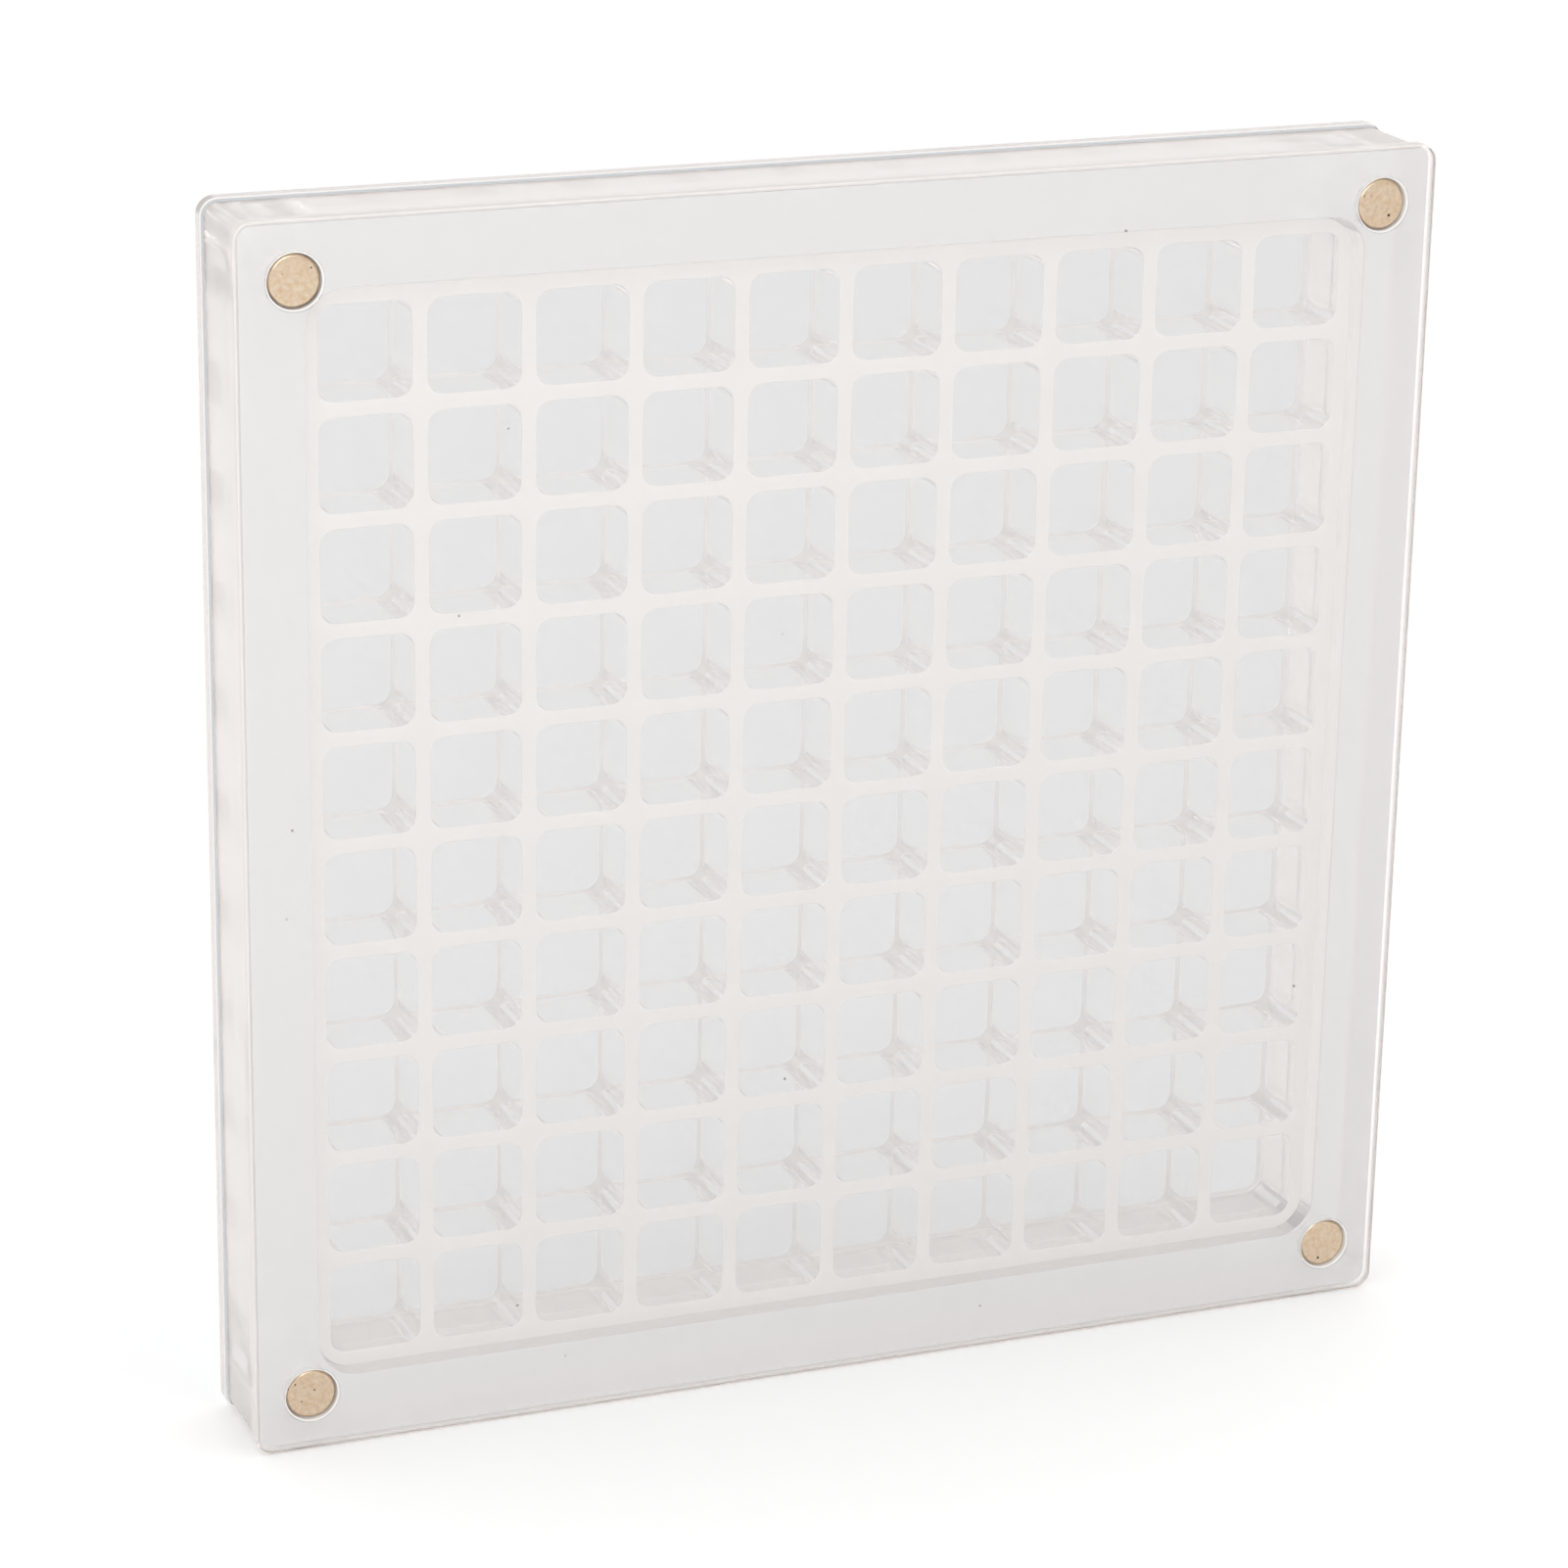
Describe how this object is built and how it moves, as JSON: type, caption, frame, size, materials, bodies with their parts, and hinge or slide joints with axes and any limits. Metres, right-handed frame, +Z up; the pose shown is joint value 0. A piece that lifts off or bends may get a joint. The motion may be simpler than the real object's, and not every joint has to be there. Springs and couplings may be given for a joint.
{
  "type": "display box",
  "caption": "Clear square display box with a lattice of small rounded cells and a magnetic lift-off front cover, for seashells.",
  "frame": {"origin": "middle of the footprint, on the surface that the box stands on", "axes": "+Z up, the cover faces -Y, +X is to the right of a viewer who faces the cover"},
  "size_m": [0.24, 0.0252, 0.24],
  "materials": {
    "clear_acrylic": "polished clear",
    "film": "hazy",
    "nickel_magnet": "satin, pitted"
  },
  "bodies": {
    "case": {"rear_panel": "clear_acrylic", "frame": "clear_acrylic", "cell_grid": "clear_acrylic", "frame_magnet_top_left": "nickel_magnet", "frame_magnet_top_right": "nickel_magnet", "frame_magnet_bottom_left": "nickel_magnet", "frame_magnet_bottom_right": "nickel_magnet"},
    "cover": {"front_cover": "clear_acrylic", "protective_film": "film", "cover_magnet_top_left": "nickel_magnet", "cover_magnet_top_right": "nickel_magnet", "cover_magnet_bottom_left": "nickel_magnet", "cover_magnet_bottom_right": "nickel_magnet"}
  },
  "joints": [
    {"name": "cover_pull", "type": "slide", "parent": "case", "child": "cover", "axis": [0, -1, 0], "range_m": [0, 0.06]}
  ]
}
